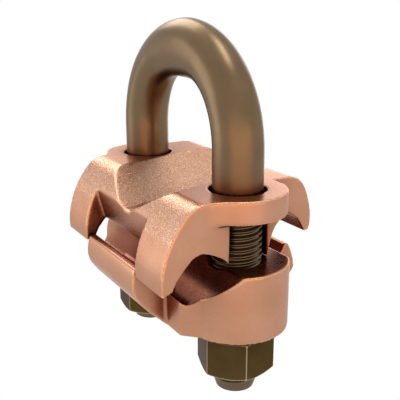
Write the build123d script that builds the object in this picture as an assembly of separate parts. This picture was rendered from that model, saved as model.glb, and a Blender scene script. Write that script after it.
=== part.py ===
from build123d import *
import math
import os

# Earth rod clamp. A U-bolt passes down through two castings and two nuts draw them up.
# The rod lies along Y, between the bow of the U-bolt and the V seat of the upper casting.
# Two earth cables run along X, one each side, held between the hooks of the upper casting
# and the finger of the lower one: a small channel at the front (-Y), a large one at the back.
# Frame: origin at the centre of the bow, +Z up, legs of the U-bolt in the XZ plane.

# ---- U-bolt ----
LEG_D = 10.0                    # legs and bow
HALF = 19.25                    # half the distance between the legs
BOW_DEPTHS = ((0, LEG_D), (45, 10.3), (90, 12.0), (135, 10.3), (180, LEG_D))  # the bar is deepest at the crown
LEG_END = -49.0                 # lower end of the legs
THREAD_D = 9.92                 # over the thread crests
THREAD_TOP = -10.5              # where the thread starts
POINT_D = 7.9                   # lead-in point at the end of the thread
POINT_H = 3.4

# ---- heights shared by the two castings ----
TOP = -7.0                      # top face of the upper casting
STEM = 14.4                     # the castings meet on a flat this far below the top face
LOW = 28.0                      # underside of the lower casting below the top face
FRONT_RIDGE = -4.5              # edges of that flat, and of the stem standing on it
BACK_RIDGE = 6.0
HOLE_R = LEG_D / 2 + 0.7        # bolt holes in the upper casting
SIDE_GAP = 0.6                  # between a finger and the hooks beside it

# ---- upper casting ----
END_X = 25.5                    # end faces of the outer hooks
BOSS_R = 9.8
BOSS_H = 4.6
BOSS_BLEND = 9.0                # blend between boss and end face
BLEND_END = 15.0                # the blend may run as far as this, under the slope of the hook
FLAT_END = 11.4                 # the top face is level as far as this, then slopes down the hook
STEM_X = 21.5                   # end of the stem where no hook covers it
STEM_SIDE = 9.4                 # its half width there
SEAT_R = 4.0                    # rounded bottom of the V seat
SEAT_DEPTH = 6.0
SEAT_SLOPE = 28.5               # flanks above the horizontal
SEAT_TURN = 15.0                # the seat is cast slightly askew to the legs
FRONT_NEAR = (14.4, END_X)      # hooks, from x to x
FRONT_FAR = (-20.6, -10.0)
BACK_NEAR = (8.5, 17.8)
BACK_FAR = (-END_X, -14.4)

# ---- lower casting ----
LOW_HOLE_R = THREAD_D / 2 + 0.34  # only the thread passes here
END_R = 10.5                    # round ends
BODY_Y = 13.0                   # flat sides
BODY_X = 19.3                   # where a flat side stops
FACET = 3.7                     # 45 degree facet from there to the round end
FRONT_FINGER = (FRONT_FAR[1] + SIDE_GAP, FRONT_NEAR[0] - SIDE_GAP)
BACK_FINGER = (BACK_FAR[1] + SIDE_GAP, 12.5)

# ---- nuts and spring washers ----
NUT_FLATS = 14.0
NUT_H = 8.2
NUT_BORE = THREAD_D + 0.12
NUT_TURN = -17.4                # corner direction as seated
WASHER_OD = 16.0
WASHER_ID = THREAD_D + 0.68
WASHER_T = 1.6
WASHER_RISE = 1.7               # how far the far washer still stands open

# Profiles are (y, z) with z measured from the top face of the upper casting.
# A run of two points is straight, a longer run is a smooth curve, drawn as a chain of arcs.
ARCS = 5
FRONT_HOOK = [
    [(0, 0), (-FLAT_END, 0)],
    [(-FLAT_END, 0), (-12.9, -0.4), (-14.5, -1.5), (-16.3, -3.6), (-18.3, -7.0), (-19.5, -10.5), (-20.0, -13.3),
     (-19.9, -16.2)],
    [(-19.9, -16.2), (-17.7, -15.4)],
    [(-17.7, -15.4), (-17.2, -14.2), (-16.1, -12.8), (-14.5, -10.9), (-12.4, -9.5), (-9.6, -10.0),
     (-7.4, -11.1), (-5.5, -12.8), (FRONT_RIDGE, -STEM)],
    [(FRONT_RIDGE, -STEM), (0, -STEM)],
    [(0, -STEM), (0, 0)],
]
BACK_HOOK = [
    [(0, 0), (13.6, 0)],
    [(13.6, 0), (15.2, -0.25), (16.6, -1.0), (17.8, -2.4), (18.9, -4.9), (19.6, -7.6), (19.8, -10.2),
     (19.4, -12.2)],
    [(19.4, -12.2), (18.3, -12.6)],
    [(18.3, -12.6), (17.6, -11.2), (16.6, -9.6), (15.0, -8.2), (12.6, -6.9), (10.4, -6.6), (8.6, -7.7),
     (7.2, -9.9), (BACK_RIDGE, -STEM)],
    [(BACK_RIDGE, -STEM), (0, -STEM)],
    [(0, -STEM), (0, 0)],
]
# What is cut away between two hooks, and beyond a hook where only the stem goes on
FRONT_GAP = [[(-17.7, -2.0), (-15.0, -13.0)], [(-15.0, -13.0), (-15.0, -24.0)], [(-15.0, -24.0), (-30.0, -24.0)],
             [(-30.0, -24.0), (-30.0, -2.0)], [(-30.0, -2.0), (-17.7, -2.0)]]
BACK_GAP = [[(17.0, -0.5), (15.2, -12.0)], [(15.2, -12.0), (15.2, -24.0)], [(15.2, -24.0), (30.0, -24.0)],
            [(30.0, -24.0), (30.0, -0.5)], [(30.0, -0.5), (17.0, -0.5)]]
FRONT_END = [[(-STEM_SIDE, 1.0), (-STEM_SIDE, -24.0)], [(-STEM_SIDE, -24.0), (-30.0, -24.0)],
             [(-30.0, -24.0), (-30.0, 1.0)], [(-30.0, 1.0), (-STEM_SIDE, 1.0)]]
BACK_END = [[(-y, z) for y, z in run] for run in FRONT_END]
FLOOR_FRONT = [
    [(0, -STEM), (FRONT_RIDGE, -STEM)],
    [(FRONT_RIDGE, -STEM), (-6.6, -16.3), (-8.8, -18.4), (-10.4, -20.3), (-11.8, -21.3)],
    [(-11.8, -21.3), (-12.4, -21.2), (-BODY_Y, -20.6)],
    [(-BODY_Y, -20.6), (-BODY_Y, -LOW)],
    [(-BODY_Y, -LOW), (0, -LOW)],
    [(0, -LOW), (0, -STEM)],
]
FLOOR_BACK = [
    [(0, -STEM), (9.4, -STEM)],
    [(9.4, -STEM), (10.2, -17.2), (11.2, -19.6), (12.2, -21.2)],
    [(12.2, -21.2), (BODY_Y, -21.2)],
    [(BODY_Y, -21.2), (BODY_Y, -LOW)],
    [(BODY_Y, -LOW), (0, -LOW)],
    [(0, -LOW), (0, -STEM)],
]
FINGER_FRONT = [
    [(-10.4, -20.3), (-11.8, -20.9), (-13.4, -20.1), (-15.2, -18.7), (-16.8, -16.9), (-18.2, -14.6)],
    [(-18.2, -14.6), (-19.7, -14.9)],
    [(-19.7, -14.9), (-20.2, -17.6), (-20.0, -19.9), (-18.7, -22.2), (-16.5, -24.7), (-BODY_Y, -LOW)],
    [(-BODY_Y, -LOW), (-10.4, -LOW)],
    [(-10.4, -LOW), (-10.4, -20.3)],
]
FINGER_BACK = [
    [(11.2, -19.6), (12.4, -20.8), (14.0, -20.6), (15.9, -19.2), (17.2, -16.8)],
    [(17.2, -16.8), (18.5, -17.1)],
    [(18.5, -17.1), (19.4, -19.2), (20.1, -21.6), (20.2, -22.9), (19.4, -24.0), (17.4, -25.8),
     (BODY_Y, -LOW)],
    [(BODY_Y, -LOW), (11.2, -LOW)],
    [(11.2, -LOW), (11.2, -19.6)],
]


def prism(profile, x0, x1):
    """Solid from x0 to x1 with the given (y, z) profile, lowered to the clamp's frame."""
    with BuildSketch(Plane.YZ) as sk:
        with BuildLine():
            for run in profile:
                if len(run) > 2:
                    curve = Spline(*run, mode=Mode.PRIVATE)
                    stops = [curve @ (i / (2 * ARCS)) for i in range(2 * ARCS + 1)]
                    for i in range(0, 2 * ARCS, 2):
                        ThreePointArc(stops[i], stops[i + 1], stops[i + 2])
                else:
                    Line(*run)
        make_face()
    return Pos(x0, 0, TOP) * extrude(sk.sketch, amount=x1 - x0)


def rod(x, y, r, z0, z1):
    return Pos(x, y, (z0 + z1) / 2) * Cylinder(r, abs(z1 - z0))


def u_bolt():
    """One bar: two legs with thread blanks, and the bow, which is forged deeper at its crown."""
    path = ThreePointArc((-HALF, 0, 0), (0, 0, HALF), (HALF, 0, 0))
    sections = []
    for turn, depth in BOW_DEPTHS:
        a = math.radians(turn)
        r = HALF + (LEG_D - depth) / 2
        across = Plane((-r * math.cos(a), 0, r * math.sin(a)), x_dir=(0, 1, 0),
                       z_dir=(math.sin(a), 0, math.cos(a)))
        sections.append(across * Ellipse(LEG_D / 2, depth / 2))
    bar = sweep(sections, path=path, multisection=True)
    for x in (-HALF, HALF):
        bar += rod(x, 0, LEG_D / 2, THREAD_TOP, 0)
        bar += rod(x, 0, THREAD_D / 2, LEG_END + POINT_H, THREAD_TOP)
        bar += Pos(x, 0, LEG_END + POINT_H / 2) * Cone(POINT_D / 2, THREAD_D / 2, POINT_H)
    return bar


def seat():
    """Cutter for the V seat: flat flanks and a rounded bottom, along Y."""
    bottom = TOP - SEAT_DEPTH
    slope = math.radians(SEAT_SLOPE)
    tx = SEAT_R * math.sin(slope)
    tz = bottom + SEAT_R * (1 - math.cos(slope))
    rise = 14.0
    run = rise / math.tan(slope)
    with BuildSketch(Plane.XZ) as sk:
        with BuildLine():
            ThreePointArc((-tx, tz), (0, bottom), (tx, tz))
            Polyline((tx, tz), (tx + run, tz + rise), (-tx - run, tz + rise), (-tx, tz))
        make_face()
    return Rot(0, 0, SEAT_TURN) * Pos(0, 30, 0) * extrude(sk.sketch, amount=60)


def boss(sign):
    """Round boss at one end, blended into the end face of the outer hook and under its slope."""
    with BuildSketch(Plane.XY.offset(TOP - BOSS_H)) as sk:
        with Locations((HALF, 0)):
            Circle(BOSS_R)
        with Locations((END_X - BLEND_END / 2, -BLEND_END / 2)):
            Rectangle(BLEND_END, BLEND_END)
        notch = [v for v in sk.vertices() if abs(v.X - END_X) < 0.01 and -9 < v.Y < -5]
        fillet(notch, BOSS_BLEND)
    far = HALF + BOSS_R
    profile = FRONT_HOOK if sign > 0 else [[(-y, z) for y, z in run] for run in BACK_HOOK]
    under = prism(profile, 0, far) + Pos(far / 2, far / 2, TOP - BOSS_H / 2) * Box(far, far, BOSS_H)
    solid = extrude(sk.sketch, amount=BOSS_H) & under
    return solid if sign > 0 else Rot(0, 0, 180) * solid


def upper_clamp():
    """Upper casting: V seat, four hooks, two bolt bosses and the stem between the channels."""
    front = prism(FRONT_HOOK, -STEM_X, END_X)
    front -= prism(FRONT_GAP, FRONT_FAR[1], FRONT_NEAR[0])
    front -= prism(FRONT_END, -STEM_X - 1, FRONT_FAR[0])
    back = prism(BACK_HOOK, -END_X, STEM_X)
    back -= prism(BACK_GAP, BACK_FAR[1], BACK_NEAR[0])
    back -= prism(BACK_END, BACK_NEAR[1], STEM_X + 1)
    body = front + back
    for sign in (1, -1):
        body += boss(sign)
    body -= seat()
    for sign in (1, -1):
        body -= rod(sign * HALF, 0, HOLE_R, TOP - 20, TOP + 1)
        slot = Box(20, 2 * HOLE_R, STEM)
        body -= Pos(sign * (HALF + 10), 0, TOP - BOSS_H - STEM / 2) * slot
    return body


def plan(z0, z1):
    """Outline of the lower casting seen from above, between two heights."""
    with BuildSketch(Plane.XY.offset(z0)) as sk:
        Rectangle(2 * BODY_X, 2 * BODY_Y)
        with Locations((HALF, 0), (-HALF, 0)):
            Circle(END_R)
        for sx in (1, -1):
            for sy in (1, -1):
                with BuildLine():
                    Polyline((sx * 10, sy * BODY_Y), (sx * BODY_X, sy * BODY_Y),
                             (sx * (BODY_X + FACET), sy * (BODY_Y - FACET)), (sx * 10, 0), close=True)
                make_face()
    return extrude(sk.sketch, amount=z1 - z0)


def lower_clamp():
    """Lower casting: a ridge between two cable grooves, and one finger on each side."""
    span = 2 * (HALF + END_R)
    floor = prism(FLOOR_FRONT, -span / 2, span / 2) + prism(FLOOR_BACK, -span / 2, span / 2)
    body = floor & plan(TOP - LOW, TOP)
    body += prism(FINGER_FRONT, *FRONT_FINGER)
    body += prism(FINGER_BACK, *BACK_FINGER)
    for x in (HALF, -HALF):
        body -= rod(x, 0, LOW_HOLE_R, TOP - LOW - 1, TOP)
    return body


def nut():
    """Hexagon nut, its top face at z = 0, corners chamfered on the lower face only."""
    corner = NUT_FLATS / math.sqrt(3)
    hexagon = extrude(RegularPolygon(corner, 6), amount=-NUT_H)
    cone = Pos(0, 0, -NUT_H) * Cone(NUT_FLATS / 2 - 0.2, NUT_FLATS / 2 - 0.2 + 2.2 * NUT_H, NUT_H,
                                     align=(Align.CENTER, Align.CENTER, Align.MIN))
    body = hexagon & cone
    body -= rod(0, 0, NUT_BORE / 2, -NUT_H - 1, 1)
    return body


def spring_washer(rise):
    """Split spring washer: a square bar coiled through almost one turn, its top at z = 0."""
    mean = (WASHER_OD + WASHER_ID) / 4
    width = (WASHER_OD - WASHER_ID) / 2
    turn = 350
    if rise == 0:
        with BuildSketch(Plane.XZ) as flat:
            with Locations((mean, -WASHER_T / 2)):
                Rectangle(width, WASHER_T)
        return revolve(flat.sketch, Axis.Z, turn)
    coil = Helix(rise * 360 / turn, rise, mean)
    with BuildSketch(Plane.XZ) as bar:
        with Locations((mean, 0)):
            Rectangle(width, WASHER_T)
    body = sweep(bar.sketch, path=coil, is_frenet=True)
    return Pos(0, 0, -rise - WASHER_T / 2) * body


def build():
    under = TOP - LOW
    parts = {"u_bolt": u_bolt(), "upper_clamp": upper_clamp(), "lower_clamp": lower_clamp()}
    for name, x, rise, turn in (("near", HALF, 0, 0), ("far", -HALF, WASHER_RISE, 130)):
        parts["spring_washer_" + name] = Pos(x, 0, under) * Rot(0, 0, turn + 200) * spring_washer(rise)
        parts["nut_" + name] = Pos(x, 0, under - WASHER_T - rise) * Rot(0, 0, NUT_TURN + turn) * nut()
    return parts


if __name__ == "__main__":
    os.makedirs("parts", exist_ok=True)
    for name, solid in build().items():
        solids = solid.solids()
        print(name, len(solids), round(solid.volume, 1))
        export_step(solids[0], "parts/%s.step" % name)
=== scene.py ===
# %% [markdown]
# # An earth rod clamp
# A U-bolt holds an earth rod in the V seat of a cast clamp, and two earth cables run
# through channels on either side of it. The exact solids come from a CAD file, and this
# lesson gives them the surface of the real thing: bent bronze bar with a cut thread,
# sand castings in a copper alloy, plain nuts and split spring washers.
# All numbers are in metres, in the frame of the CAD file.

# %% Load the solids
import math

import bmesh
import bpy
import numpy as np
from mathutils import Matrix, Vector


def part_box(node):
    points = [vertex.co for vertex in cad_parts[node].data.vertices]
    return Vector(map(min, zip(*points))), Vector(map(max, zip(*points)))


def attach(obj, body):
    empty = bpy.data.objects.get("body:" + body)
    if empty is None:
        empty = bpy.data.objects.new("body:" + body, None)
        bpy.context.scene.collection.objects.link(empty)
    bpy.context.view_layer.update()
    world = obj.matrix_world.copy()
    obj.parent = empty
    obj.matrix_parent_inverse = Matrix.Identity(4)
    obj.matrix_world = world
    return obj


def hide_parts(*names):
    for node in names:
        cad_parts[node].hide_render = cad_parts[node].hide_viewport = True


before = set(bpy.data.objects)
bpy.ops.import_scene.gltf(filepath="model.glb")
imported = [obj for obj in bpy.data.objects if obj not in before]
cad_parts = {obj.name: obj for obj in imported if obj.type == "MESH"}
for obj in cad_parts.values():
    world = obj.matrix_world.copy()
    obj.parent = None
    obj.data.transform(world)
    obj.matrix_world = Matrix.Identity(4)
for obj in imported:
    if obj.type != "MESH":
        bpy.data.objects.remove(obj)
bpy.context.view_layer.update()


print("CAD pieces:", ", ".join(sorted(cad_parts)))

# %% [markdown]
# ## Measures
# Places are read from the solids, so that the looks follow them if they change. The
# bolt's legs stand at equal distances from the middle, and the bow is a half circle
# whose centre is the origin. The thread is not in the solids, which have a plain blank
# there, so its own measures are given here: an M10 fine thread rises 1.25 mm a turn, its
# crests stand just under the plain bar, and a cone at the tip leads the nut on.

# %% Read the measures from the solids
bolt_low, bolt_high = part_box("u_bolt")
LEG_R = (bolt_high.y - bolt_low.y) / 2
LEG_X = bolt_high.x - LEG_R
LEG_END = bolt_low.z
CREST_R = LEG_R - 0.00004
PITCH = 0.00125
THREAD_DEPTH = 0.00066
THREAD_TOP = -0.0105
POINT_R, POINT_H = 0.00395, 0.0034
print("leg radius %.2f mm, legs %.2f mm apart" % (LEG_R * 1000, LEG_X * 2000))

# %% [markdown]
# ## Skin: a helper for round bars
# A bent bar is a row of rings joined by quads. Each ring lies across the bar's centre
# line, so the same helper makes the legs, the bow and the thread. Working the rings out
# in numpy and handing them over at once is much faster than adding vertices one by one.

# %% Join rings into a closed skin
def skin(name, rings):
    """A closed mesh through rings, an array of (rings, points, 3)."""
    rows, around, _ = rings.shape
    points = rings.reshape(-1, 3).tolist()
    faces = []
    for i in range(rows - 1):
        for j in range(around):
            k = (j + 1) % around
            faces.append((i * around + j, i * around + k,
                          (i + 1) * around + k, (i + 1) * around + j))
    faces.append(tuple(reversed(range(around))))
    faces.append(tuple(range((rows - 1) * around, rows * around)))
    mesh = bpy.data.meshes.new(name)
    mesh.from_pydata(points, [], faces)
    mesh.validate()
    mesh.polygons.foreach_set("use_smooth", [True] * len(mesh.polygons))
    piece = bpy.data.objects.new(name, mesh)
    bpy.context.scene.collection.objects.link(piece)
    return piece


print("helper ready: skin")

# %% [markdown]
# ## The U-bolt
# The real bolt is one bar. Its ends are cut with a thread, and then it is bent, and the
# crown is forged a little deeper where it bears on the rod. A thread could be a screw
# modifier joined to a cylinder, but the join would show where the thread runs out into
# the plain bar. Here the thread is part of the bar's own rings instead: a ring's radius
# at each angle says how deep the groove is there. The groove fades out at the top over
# one and a half turns, and a cone trims the last turns at the tip.

# %% Radius of a leg at a height and an angle
CREST_HALF, FLANK, ROUNDING = 0.07, 0.33, 0.35
FADE_TURNS = 1.5


def leg_radius(z, angle):
    """Radius of the threaded leg, angle counted anticlockwise from above.
    Across one pitch the groove has half a crest, a flank and half a root, as shares of
    the pitch, and ROUNDING is how far the flank is bent from straight to an S."""
    phase = (z / PITCH - angle / (2 * math.pi)) % 1.0
    from_crest = np.abs(phase - 0.5)
    flank = np.clip((from_crest - CREST_HALF) / FLANK, 0, 1)
    groove = flank * flank * (3 - 2 * flank) * ROUNDING + flank * (1 - ROUNDING)
    fade = np.clip((THREAD_TOP - z) / (FADE_TURNS * PITCH), 0, 1)
    plain = LEG_R if z > THREAD_TOP else CREST_R
    cone = POINT_R + (CREST_R - POINT_R) * (z - LEG_END) / POINT_H
    return np.minimum(plain - THREAD_DEPTH * fade * groove, cone)


probe = leg_radius(-0.030, np.linspace(0, 2 * math.pi, 60))
print("thread: %.2f to %.2f mm radius" % (probe.min() * 1000, probe.max() * 1000))

# %% [markdown]
# The rings of the two legs are flat, and the rings of the bow turn with the bend. Each
# ring of the bow keeps its outer edge on the same half circle, and its inner edge comes
# nearer to the rod towards the crown. A high power of the sine keeps that swelling near
# the crown and lets it die away softly, with no line where it starts.

# %% Rings of the legs and of the bow
AROUND = 72
CROWN_SWELL, CROWN_POWER = 0.2, 5.5
turn = np.linspace(0, 2 * math.pi, AROUND, endpoint=False)


def leg_rings(side, heights):
    """Flat rings of one leg; side is 1 for the leg at +X and -1 for the other."""
    rings = []
    for z in heights:
        r = leg_radius(z, turn)
        rings.append(np.stack([side * LEG_X + r * np.cos(turn), r * np.sin(turn),
                               np.full(AROUND, z)], axis=1))
    return rings


def bow_rings(count):
    """Rings across the bow, from the leg at +X to the leg at -X."""
    rings = []
    for degree in np.linspace(0, 180, count)[1:-1]:
        a = math.radians(degree)
        depth = LEG_R * (1 + CROWN_SWELL * math.sin(a) ** CROWN_POWER)
        middle = LEG_X + LEG_R - depth
        reach = middle + depth * np.cos(turn)
        rings.append(np.stack([reach * math.cos(a), LEG_R * np.sin(turn),
                               reach * math.sin(a)], axis=1))
    return rings


print("points in a ring:", AROUND)

# %% [markdown]
# The thread needs twelve rings a turn to look round, and the plain part above it very
# few. The far leg is walked from the top down, so its rings come in the other order, and
# their points are counted the other way round to join up with the bow's.

# %% Build the bolt as one mesh
ROWS_PER_TURN = 12
thread_rows = np.arange(LEG_END, THREAD_TOP + 0.0003, PITCH / ROWS_PER_TURN)
plain_rows = np.linspace(THREAD_TOP + 0.0005, 0, 14)
rows = np.concatenate([thread_rows, plain_rows])
mirrored = (AROUND // 2 - np.arange(AROUND)) % AROUND
near_leg = leg_rings(1, rows)
far_leg = [ring[mirrored] for ring in leg_rings(-1, rows[::-1])]
bolt = skin("bent_bolt", np.array(near_leg + bow_rings(110) + far_leg))
print("bolt:", len(bolt.data.polygons), "faces")

# %% [markdown]
# ## Softened castings, nuts and washers
# A sand mould can't hold a sharp corner, and a nut is tumbled after it is pressed, so
# every edge of the real pieces is slightly round. A bevel modifier would round each edge
# by an exact amount, but it fails where many short edges meet, as they do round the
# hooks. A voxel remesh turns the CAD surface into an even net of small squares instead,
# and a few smoothing passes then round every edge alike and leave flat faces flat.

# %% Copy a solid and round its edges
def softened(node, name, net, passes):
    """A copy of a CAD node on a net of that size, with its edges rounded."""
    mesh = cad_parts[node].data.copy()
    mesh.name = name
    mesh.materials.clear()
    work = bmesh.new()
    work.from_mesh(mesh)
    bmesh.ops.remove_doubles(work, verts=work.verts, dist=1e-7)
    work.to_mesh(mesh)
    work.free()
    piece = bpy.data.objects.new(name, mesh)
    bpy.context.scene.collection.objects.link(piece)
    remesh = piece.modifiers.new("net", "REMESH")
    remesh.mode = "VOXEL"
    remesh.voxel_size = net
    remesh.use_smooth_shade = True
    smooth = piece.modifiers.new("rounding", "SMOOTH")
    smooth.factor = 0.5
    smooth.iterations = passes
    depsgraph = bpy.context.evaluated_depsgraph_get()
    final = bpy.data.meshes.new_from_object(piece.evaluated_get(depsgraph))
    piece.modifiers.clear()
    piece.data = final
    final.name = name
    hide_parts(node)
    print("%s: %d faces" % (name, len(final.polygons)))
    return piece


upper = softened("upper_clamp", "upper_casting", net=0.00028, passes=5)
lower = softened("lower_clamp", "lower_casting", net=0.00028, passes=5)

# %% [markdown]
# The nuts and washers are smaller and crisper, so their net is finer and they get fewer
# passes.

# %% Nuts and spring washers
nuts, washers = {}, {}
for side in ("near", "far"):
    nuts[side] = softened("nut_" + side, "hexagon_nut_" + side,
                          net=0.00014, passes=3)
    washers[side] = softened("spring_washer_" + side, "split_washer_" + side,
                             net=0.00011, passes=3)

# %% [markdown]
# ## What moves with what
# The bolt stays still. The upper casting slides up the legs by itself. The lower casting
# takes the washers with it as the nuts are undone, and each nut turns on its own leg.

# %% Let the pieces ride on their bodies
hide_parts("u_bolt")
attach(bolt, "u_bolt")
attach(upper, "upper_clamp")
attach(lower, "lower_clamp")
for side in ("near", "far"):
    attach(washers[side], "lower_clamp")
    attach(nuts[side], "nut_" + side)

# %% [markdown]
# ## Helpers for finishes
# A finish is a tree of small nodes, and most of its lines would only say which socket
# goes to which. These helpers take that work: one links two sockets, one adds a node
# with its values set, and three stand for the jobs that come again and again, which are
# to blend two colours, to stretch a range of numbers and to work out one from two.

# %% Short ways to wire a node tree
def wire(tree, start, end):
    tree.links.new(start, end)


def node(tree, kind, **values):
    """Add a node and set its inputs by name."""
    made = tree.nodes.new(kind)
    for name, value in values.items():
        made.inputs[name].default_value = value
    return made


def blend_of(tree, factor, first, second):
    """A colour mix of two colours or sockets."""
    mix = tree.nodes.new("ShaderNodeMix")
    mix.data_type = "RGBA"
    wire(tree, factor, mix.inputs[0])
    for socket, value in ((mix.inputs[6], first), (mix.inputs[7], second)):
        if isinstance(value, tuple):
            socket.default_value = (*value, 1)
        else:
            wire(tree, value, socket)
    return mix.outputs[2]


def between(tree, value, low, high, start=0.0, end=1.0):
    """Stretch a value from low..high to start..end."""
    ramp = tree.nodes.new("ShaderNodeMapRange")
    wire(tree, value, ramp.inputs[0])
    for i, number in enumerate((low, high, start, end), start=1):
        ramp.inputs[i].default_value = number
    return ramp.outputs[0]


def math_of(tree, operation, first, second):
    """One value worked out from two others."""
    made = tree.nodes.new("ShaderNodeMath")
    made.operation = operation
    wire(tree, first, made.inputs[0])
    wire(tree, second, made.inputs[1])
    return made.outputs[0]


def own_place(tree):
    """Where a point lies on its own piece, so that a finish moves with the piece."""
    return tree.nodes.new("ShaderNodeTexCoord").outputs["Object"]


print("helpers ready: node, blend_of, between, math_of")

# %% [markdown]
# ## Worked metal
# All the pieces are copper alloys, and differ in colour and in how they were worked. One
# function mixes a metal from the same few things: a slow drift of tone, a fine grain that
# also roughens the gloss, lighter metal on the edges, which is partly rubbed wear and
# partly a painted highlight, and painted shade in recesses. The lighter edges come from
# the
# Geometry node's Pointiness, which knows how much the surface bends, so they need a dense
# mesh, and these pieces have one. The painted shade comes from the Ambient Occlusion node,
# which darkens a spot by how little of the room it can see, not by where the camera
# stands.

# %% The metal itself
# Painted shade: the reach within which nearby walls darken the metal in its recesses.
PAINTED_SHADE_REACH = 0.013      # how near a wall has to be to count as a recess


def worked_metal(name, tone, dark, wear_and_edge_highlight, painted_shade, gloss, grain, tooth, edge_bend, lacquer):
    """Metal that drifts between tone and dark, is lighter at its edges, partly with wear
    and partly with a painted highlight, and is darkened by painted shade in its recesses.
    gloss is (smooth, rough) roughness, grain the size of the grain, tooth its depth, the
    bend range where the lighter edge starts and where it is complete, and lacquer the
    share of clear coat."""
    material = bpy.data.materials.new(name)
    material.use_nodes = True
    tree = material.node_tree
    metal = tree.nodes["Principled BSDF"]
    metal.inputs["Metallic"].default_value = 1.0
    metal.inputs["Coat Weight"].default_value = lacquer
    metal.inputs["Coat Roughness"].default_value = 0.3
    metal.inputs["Specular Tint"].default_value = (*(0.5 + c / 2 for c in tone), 1)

    drift = node(tree, "ShaderNodeTexNoise", Scale=140.0, Detail=3.0, Roughness=0.55)
    fine = node(tree, "ShaderNodeTexNoise", Scale=1.0 / grain, Detail=2.0, Roughness=0.5)
    place = own_place(tree)
    for noise in (drift, fine):
        wire(tree, place, noise.inputs["Vector"])

    body = blend_of(tree, between(tree, drift.outputs["Fac"], 0.35, 0.65), dark, tone)
    # Lighter edges on sharp bends: partly rubbed wear, partly a painted highlight.
    bend = tree.nodes.new("ShaderNodeNewGeometry").outputs["Pointiness"]
    edged = blend_of(tree, between(tree, bend, *edge_bend), body, wear_and_edge_highlight)
    # Painted shade: the metal darkens towards its shade colour where Ambient Occlusion
    # finds walls near.
    open_air = node(tree, "ShaderNodeAmbientOcclusion", Distance=PAINTED_SHADE_REACH)
    open_air.samples = 12
    painted_shade_mask = between(tree, open_air.outputs["AO"], 0.95, 0.50)
    wire(tree, blend_of(tree, painted_shade_mask, edged, painted_shade), metal.inputs["Base Color"])

    rough = between(tree, fine.outputs["Fac"], 0.3, 0.7, *gloss)
    wire(tree, rough, metal.inputs["Roughness"])
    bump = node(tree, "ShaderNodeBump", Strength=1.0, Distance=tooth)
    wire(tree, fine.outputs["Fac"], bump.inputs["Height"])
    wire(tree, bump.outputs["Normal"], metal.inputs["Normal"])
    print("finish:", name)
    return material


# %% [markdown]
# ## Bronzes
# The bolt is drawn bar, smooth and brown, with a thin clear coat that gives its
# highlights a paler core. The nuts and washers are darker and bare, and their edges are
# lighter, partly worn bright and partly a painted highlight. The grain is 0.4 to 0.9 mm
# across and a few thousandths of a millimetre deep: more would look like rust.

# %% Bolt, nut and washer bronze
# In each metal, the pale edge colour is partly wear and partly a painted highlight, and
# the darkest colour is painted shade for recesses.
bolt_bronze = worked_metal(
    "drawn_bronze", tone=(0.170, 0.110, 0.054), dark=(0.145, 0.090, 0.042),
    wear_and_edge_highlight=(0.50, 0.38, 0.25), painted_shade=(0.15, 0.055, 0.02), gloss=(0.29, 0.35),
    grain=0.0009, tooth=0.000002, edge_bend=(0.53, 0.60), lacquer=0.35)
nut_bronze = worked_metal(
    "pressed_bronze", tone=(0.095, 0.060, 0.022), dark=(0.070, 0.043, 0.015),
    wear_and_edge_highlight=(0.80, 0.66, 0.45), painted_shade=(0.030, 0.016, 0.006), gloss=(0.26, 0.36),
    grain=0.0005, tooth=0.000006, edge_bend=(0.51, 0.55), lacquer=0.0)
washer_bronze = worked_metal(
    "spring_bronze", tone=(0.12, 0.075, 0.032), dark=(0.09, 0.05, 0.02),
    wear_and_edge_highlight=(0.60, 0.48, 0.32), painted_shade=(0.03, 0.016, 0.007), gloss=(0.28, 0.38),
    grain=0.0004, tooth=0.000006, edge_bend=(0.52, 0.57), lacquer=0.0)

# %% [markdown]
# The bolt is given a darker tone along its thread, below the plain bar. The height of a
# point on the bolt tells thread from plain bar, and the tone changes over the two turns
# where the thread runs out.

# %% Darken the thread
def darken_thread(material, tone):
    """Give the bolt another tone below the top of its thread."""
    tree = material.node_tree
    base = tree.nodes["Principled BSDF"].inputs["Base Color"]
    height = tree.nodes.new("ShaderNodeSeparateXYZ")
    wire(tree, own_place(tree), height.inputs[0])
    threaded = between(tree, height.outputs["Z"], THREAD_TOP + PITCH, THREAD_TOP - PITCH)
    wire(tree, blend_of(tree, threaded, base.links[0].from_socket, tone), base)


darken_thread(bolt_bronze, (0.120, 0.083, 0.042))
print("dark below z = %.1f mm" % (THREAD_TOP * 1000))

# %% [markdown]
# ## Sand skin on the castings
# The castings were poured in sand. Their upright and level faces are rubbed fairly
# smooth, but the slopes of the seat and the shoulders of the hooks keep the speckled
# skin of the mould. The slope of a face tells them apart, so the speckle is let in by
# the upward part of the surface's own normal: level is 1, upright is 0. Pale grains
# stand out on it. The lower casting gets almost none, as its grooves are worn smooth by
# the cables; their dark tone is the painted shade in recesses that every piece gets.

# %% Find the slopes
def slope_mask(tree):
    """1 on slopes, 0 on level faces and on upright or hanging ones."""
    upward = tree.nodes.new("ShaderNodeSeparateXYZ")
    shape = tree.nodes.new("ShaderNodeNewGeometry")
    wire(tree, shape.outputs["Normal"], upward.inputs[0])
    up = upward.outputs["Z"]
    return math_of(tree, "MULTIPLY", between(tree, up, 0.15, 0.45),
                   between(tree, up, 0.985, 0.94))


print("helper ready: slope_mask")

# %% Castings: worked metal with sand skin on the slopes
SAND_SCALE = 4200.0       # grains per metre, so a grain is about 0.24 mm
SAND_DEPTH = 0.00018


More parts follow.
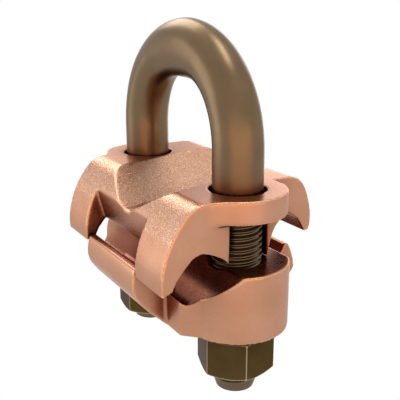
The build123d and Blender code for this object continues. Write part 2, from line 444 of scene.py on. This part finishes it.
def cast_metal(name, sand_share):
    """The castings' copper alloy, with sand_share of the coarse skin on its slopes."""
    # Pale edge colour: partly wear, partly a painted highlight; darkest colour: painted
    # shade in recesses.
    material = worked_metal(
        name, tone=(0.52, 0.265, 0.165), dark=(0.48, 0.232, 0.132),
        wear_and_edge_highlight=(0.86, 0.46, 0.20), painted_shade=(0.21, 0.052, 0.024), gloss=(0.26, 0.36),
        grain=0.0007, tooth=0.000007, edge_bend=(0.52, 0.57), lacquer=0.30)
    tree = material.node_tree
    metal = tree.nodes["Principled BSDF"]
    base, normal = metal.inputs["Base Color"], metal.inputs["Normal"]
    sand = node(tree, "ShaderNodeTexNoise", Scale=SAND_SCALE, Detail=2.0, Roughness=0.6)
    wire(tree, own_place(tree), sand.inputs["Vector"])
    speckle = math_of(tree, "MULTIPLY", sand.outputs["Fac"], slope_mask(tree))

    grains = between(tree, speckle, 0.50, 0.66, 0.0, sand_share)
    body = base.links[0].from_socket
    wire(tree, blend_of(tree, grains, body, (0.98, 0.80, 0.62)), base)
    bump = node(tree, "ShaderNodeBump", Strength=1.0, Distance=SAND_DEPTH * sand_share)
    wire(tree, speckle, bump.inputs["Height"])
    wire(tree, normal.links[0].from_socket, bump.inputs["Normal"])
    wire(tree, bump.outputs["Normal"], normal)
    return material


rough_copper = cast_metal("cast_copper_rough", 0.55)
smooth_copper = cast_metal("cast_copper_smooth", 0.06)
print("nodes in the castings' finish:", len(rough_copper.node_tree.nodes))

# %% [markdown]
# ## Dressing
# Each piece gets its finish. The hidden solids get the same finishes, for whoever shows
# them.

# %% Give each piece its finish
def dress(piece, material):
    """Give a piece one finish."""
    piece.data.materials.clear()
    piece.data.materials.append(material)


dress(bolt, bolt_bronze)
dress(upper, rough_copper)
dress(lower, smooth_copper)
for side in ("near", "far"):
    dress(nuts[side], nut_bronze)
    dress(washers[side], washer_bronze)
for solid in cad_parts.values():
    solid.data.materials.clear()
    solid.data.materials.append(rough_copper if "clamp" in solid.name else bolt_bronze)
print("dressed:", len(nuts) + len(washers) + 3, "pieces")

# %% [markdown]
# ## Floor
# The clamp hangs on its rod in use, so the floor is a pale sheet some way below it. To be
# white behind the clamp without extra light on it, the sheet glows, but only for rays
# that look at it: straight from the camera, in a mirror or through glass. The last
# hundredth stays plain paper, which takes the shadow.

# %% Rays that see the white backdrop
def white_to_sight(tree):
    """1 for rays that look at the backdrop: straight, in a mirror or through glass."""
    rays = tree.nodes.new("ShaderNodeLightPath")
    seen = rays.outputs["Is Camera Ray"]
    for kind in ("Is Glossy Ray", "Is Transmission Ray"):
        seen = math_of(tree, "MAXIMUM", seen, rays.outputs[kind])
    return seen


print("helper ready: white_to_sight")

# %% Floor
def pale_floor():
    """A wide pale floor that shows white and still takes the object's shadow."""
    size, z = 8.0, bolt_low.z - 0.20
    mesh = bpy.data.meshes.new("floor")
    mesh.from_pydata([(-size, -size, z), (size, -size, z), (size, size, z),
                      (-size, size, z)], [], [(0, 1, 2, 3)])
    sheet = bpy.data.objects.new("floor", mesh)
    bpy.context.scene.collection.objects.link(sheet)
    material = bpy.data.materials.new("pale_paper")
    material.use_nodes = True
    tree = material.node_tree
    paper = tree.nodes["Principled BSDF"]
    paper.inputs["Base Color"].default_value = (0.9, 0.9, 0.9, 1)
    paper.inputs["Roughness"].default_value = 0.9
    glow = node(tree, "ShaderNodeEmission", Strength=1.0)
    mix = tree.nodes.new("ShaderNodeMixShader")
    wire(tree, between(tree, white_to_sight(tree), 0, 1, 0, 0.99), mix.inputs[0])
    wire(tree, paper.outputs[0], mix.inputs[1])
    wire(tree, glow.outputs[0], mix.inputs[2])
    wire(tree, mix.outputs[0], tree.nodes["Material Output"].inputs["Surface"])
    mesh.materials.append(material)
    return sheet


floor = pale_floor()
print("floor at z = %.3f" % floor.data.vertices[0].co.z)

# %% [markdown]
# ## World
# Beyond the floor there is only the room. It is white to sight too, and as a light it is
# brighter above and behind than in front, like a studio with one pale wall. A dot product
# of each direction with the way to that wall gives the shade between them.

# %% World
world = bpy.data.worlds.new("studio")
bpy.context.scene.world = world
world.use_nodes = True
room = world.node_tree
sky = room.nodes["Background"]
lean = room.nodes.new("ShaderNodeVectorMath")
lean.operation = "DOT_PRODUCT"
lean.inputs[1].default_value = (-0.45, -0.10, 0.22)
wire(room, room.nodes.new("ShaderNodeTexCoord").outputs["Generated"], lean.inputs[0])
shade = between(room, lean.outputs["Value"], -0.5, 0.5, 0.06, 1.05)
level = room.nodes.new("ShaderNodeMix")
wire(room, white_to_sight(room), level.inputs[0])
wire(room, shade, level.inputs[2])
level.inputs[3].default_value = 1.0
wire(room, level.outputs[0], sky.inputs["Strength"])
sky.inputs["Color"].default_value = (1, 1, 1, 1)
print("world:", world.name)

# %% [markdown]
# ## Lamps
# Metal shows its surroundings more than its own shade, so where the lamps stand matters
# more than how bright they are. A tall soft lamp behind and a small one overhead draw the
# highlights on the bow, a wide warm one in front gives the legs their glow, and a pale
# one low on each side lights the cheeks of the hooks. All are weak and near.

# %% Lamps
def soft_lamp(name, direction, distance, size, power, colour=(1, 1, 1)):
    """A lamp in that direction from the clamp, turned towards it; size is (wide, tall)."""
    light = bpy.data.lights.new(name, "AREA")
    light.shape = "RECTANGLE"
    light.size, light.size_y = size
    light.energy = power
    light.color = colour
    lamp = bpy.data.objects.new(name, light)
    middle = Vector((0, 0, -0.012))
    lamp.location = middle + Vector(direction).normalized() * distance
    lamp.rotation_euler = (middle - lamp.location).to_track_quat("-Z", "Y").to_euler()
    bpy.context.scene.collection.objects.link(lamp)
    return lamp


lamps = [
    soft_lamp("back_box", (-0.76, 0.11, 0.64), 0.60, (0.28, 0.36), 1.5),
    soft_lamp("overhead", (0.03, 0.20, 0.98), 0.60, (0.34, 0.16), 0.8),
    soft_lamp("front_warm", (0.88, -0.30, -0.22), 0.80, (1.70, 1.00), 4.6,
              colour=(1.0, 0.46, 0.16)),
    soft_lamp("left_sheen", (-0.62, -0.77, 0.12), 0.80, (0.50, 0.50), 1.1),
    soft_lamp("right_sheen", (-0.64, 0.76, 0.08), 0.80, (0.50, 0.50), 1.3),
]
print("lamps:", ", ".join(lamp.name for lamp in lamps))

# %% [markdown]
# ## Camera
# The camera looks at the clamp past its near leg and down a little, from so close that
# the near end looks larger than the far one.

# %% Camera
lens = bpy.data.cameras.new("view")
lens.sensor_width = 36.0
lens.lens = 60.32
camera = bpy.data.objects.new("view", lens)
bpy.context.scene.collection.objects.link(camera)
camera.location = (0.12210, -0.06970, 0.02750)
aim = Vector((-0.00897, 0.00840, -0.01793))
camera.rotation_euler = (aim - camera.location).to_track_quat("-Z", "Y").to_euler()
bpy.context.scene.camera = camera
bpy.context.scene.view_settings.view_transform = "Standard"
print("camera %.0f mm from the clamp" % ((aim - camera.location).length * 1000))
